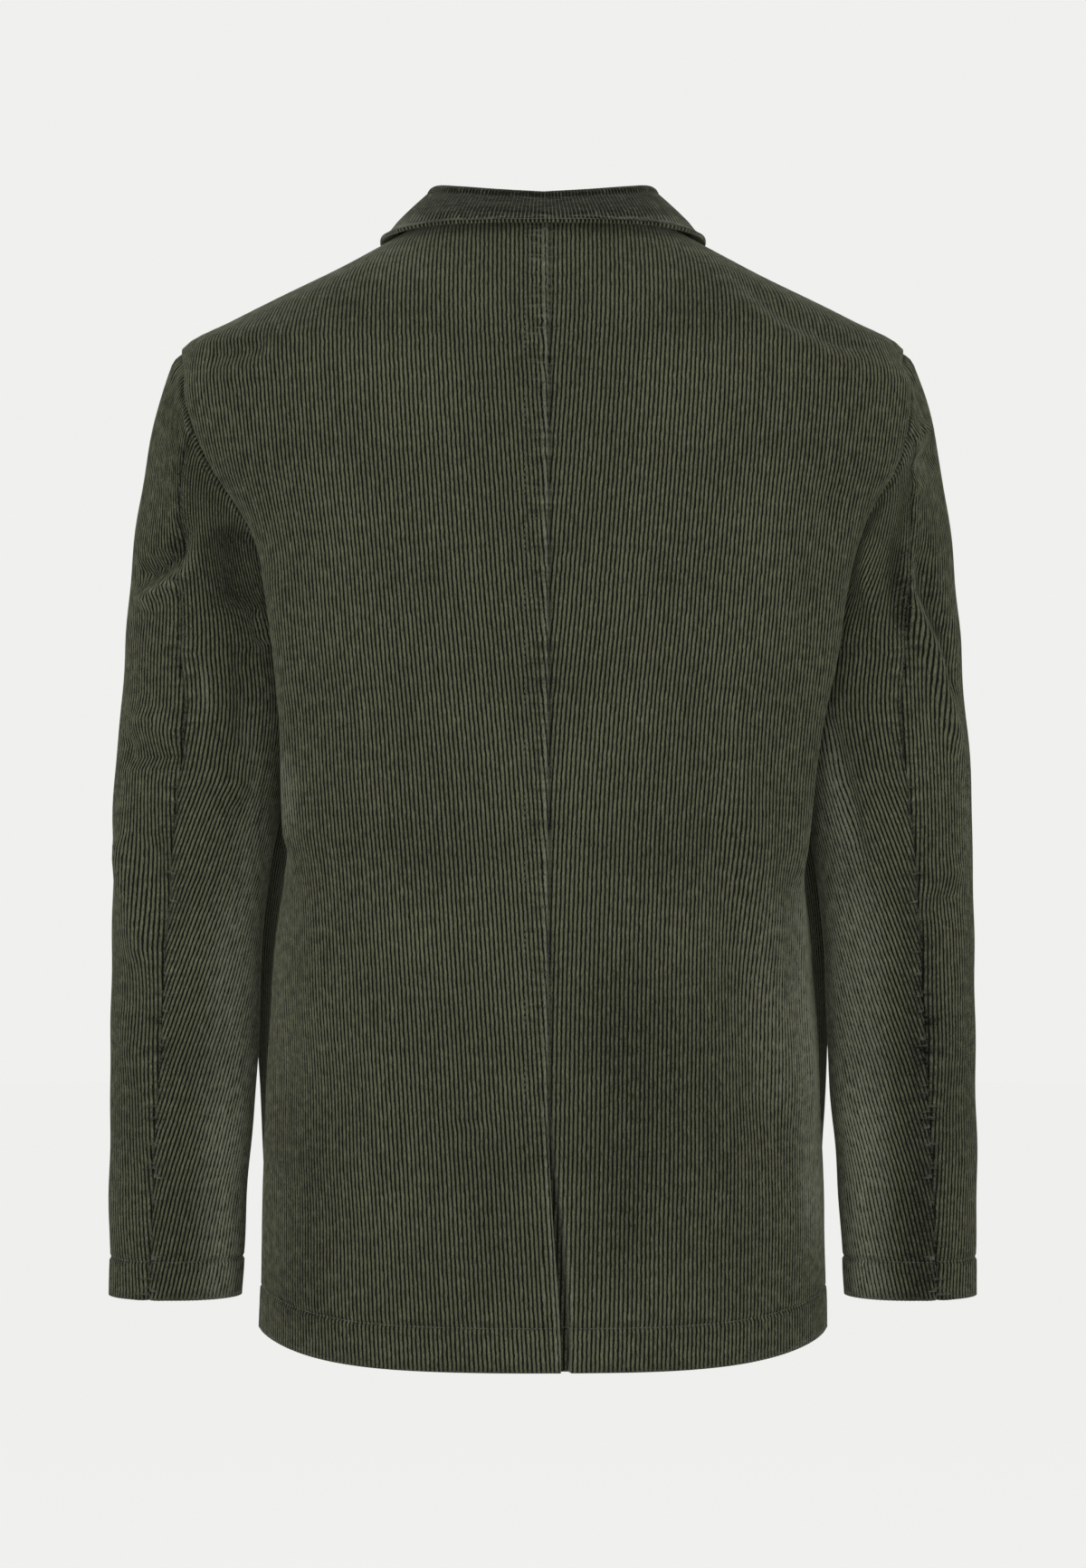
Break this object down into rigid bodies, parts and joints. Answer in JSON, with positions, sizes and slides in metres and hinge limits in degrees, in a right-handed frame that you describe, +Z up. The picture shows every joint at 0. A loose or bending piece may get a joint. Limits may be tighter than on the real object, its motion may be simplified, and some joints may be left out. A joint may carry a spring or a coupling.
{
  "type": "corduroy jacket",
  "caption": "Soft single-breasted corduroy jacket with a turned-down collar, notched lapels, long sleeves and a centre back vent, filled out as if worn.",
  "frame": {"origin": "midway between the shoulders, level with the ends of the collar, where the wearer's shoulders hold the jacket", "axes": "+Z up towards the neck, +Y out of the back, +X towards the wearer's left"},
  "size_m": [0.5628, 0.2711, 0.7418],
  "materials": {
    "corduroy": "wide-wale cotton corduroy, dark olive green, soft nap",
    "button": "dark horn-like, satin"
  },
  "bodies": {
    "root": {"back_left": "corduroy", "back_right": "corduroy", "front_left": "corduroy", "front_right": "corduroy", "lapel_left": "corduroy", "lapel_right": "corduroy", "top_sleeve_left": "corduroy", "top_sleeve_right": "corduroy", "under_sleeve_left": "corduroy", "under_sleeve_right": "corduroy", "collar": "corduroy", "button_upper": "button", "button_lower": "button"}
  },
  "joints": []
}
